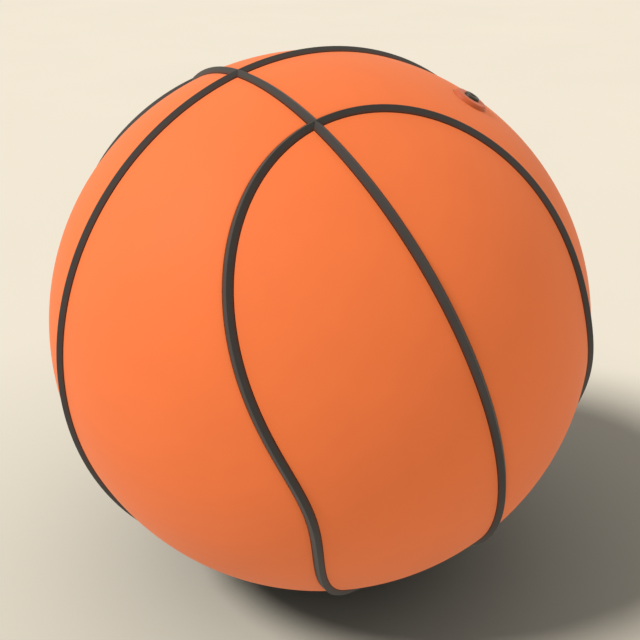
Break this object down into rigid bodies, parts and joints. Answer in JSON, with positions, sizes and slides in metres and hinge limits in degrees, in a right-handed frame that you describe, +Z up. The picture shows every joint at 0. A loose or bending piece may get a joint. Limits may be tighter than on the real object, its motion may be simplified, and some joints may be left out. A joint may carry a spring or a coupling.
{
  "type": "basketball",
  "caption": "Inflatable basketball: cover panels glued between raised dark seam ribs over a carcass, thread winding and bladder, with a pull-out needle valve plug.",
  "frame": {"origin": "centre of the ball", "axes": "+X along the axis that both loop seams run round, towards the side with the valve; +Z up, as the ball lies on the floor, with the seam crossing leaned 17.9 degrees about X; +Y to the back"},
  "size_m": [0.246, 0.246, 0.246],
  "materials": {
    "cover": "matte moulded orange",
    "seam": "satin black",
    "collar": "matte moulded dark orange",
    "carcass": "moulded black",
    "winding": "natural nylon thread",
    "bladder": "smooth butyl black",
    "patch": "rubberised cloth",
    "plug": "satin black"
  },
  "bodies": {
    "ball": {"right_belt_panel_back": "cover", "right_belt_panel_front": "cover", "right_cap_panel_back": "cover", "right_cap_panel_front": "cover", "left_belt_panel_back": "cover", "left_belt_panel_front": "cover", "left_cap_panel_back": "cover", "left_cap_panel_front": "cover", "long_seam_rib": "seam", "middle_seam_rib_front": "seam", "middle_seam_rib_back": "seam", "right_loop_rib_back": "seam", "right_loop_rib_front": "seam", "left_loop_rib_back": "seam", "left_loop_rib_front": "seam", "carcass": "carcass", "thread_winding": "winding", "bladder": "bladder", "valve_collar": "collar", "valve_boot": "bladder", "valve_patch": "patch"},
    "valve_plug": {"valve_plug": "plug"}
  },
  "joints": [
    {"name": "plug_pull", "type": "slide", "parent": "ball", "child": "valve_plug", "axis": [0.3606, 0.3632, 0.8591], "range_m": [0, 0.025]}
  ]
}
